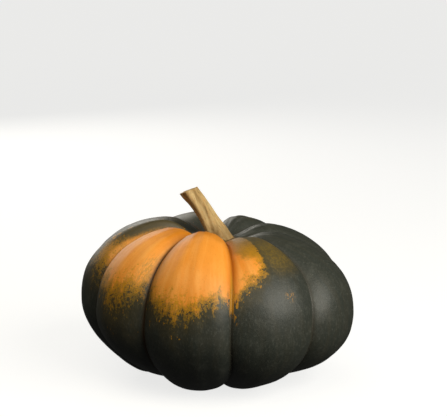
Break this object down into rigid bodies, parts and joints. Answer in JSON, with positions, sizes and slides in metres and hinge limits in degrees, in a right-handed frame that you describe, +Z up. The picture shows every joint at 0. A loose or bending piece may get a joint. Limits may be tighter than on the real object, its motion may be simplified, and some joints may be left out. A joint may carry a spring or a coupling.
{
  "type": "whole musk squash",
  "caption": "Whole ribbed squash, dark green with an orange side, with its cut woody stem, resting on its flattened feet.",
  "frame": {"origin": "on the surface that the squash rests on, under the middle of the squash", "axes": "+Z up, -Y towards the side with the orange patches, +X to the right of somebody who looks at that side"},
  "size_m": [0.2382, 0.2338, 0.1671],
  "materials": {
    "skin": "firm waxy rind, charcoal green with a broad soft sheen, ripening to orange in patches with a mottled mustard edge",
    "stem": "dry corky stalk, pale tan yellow, ridged lengthwise, matt"
  },
  "bodies": {
    "root": {"fruit": "skin", "stem": "stem"}
  },
  "joints": []
}
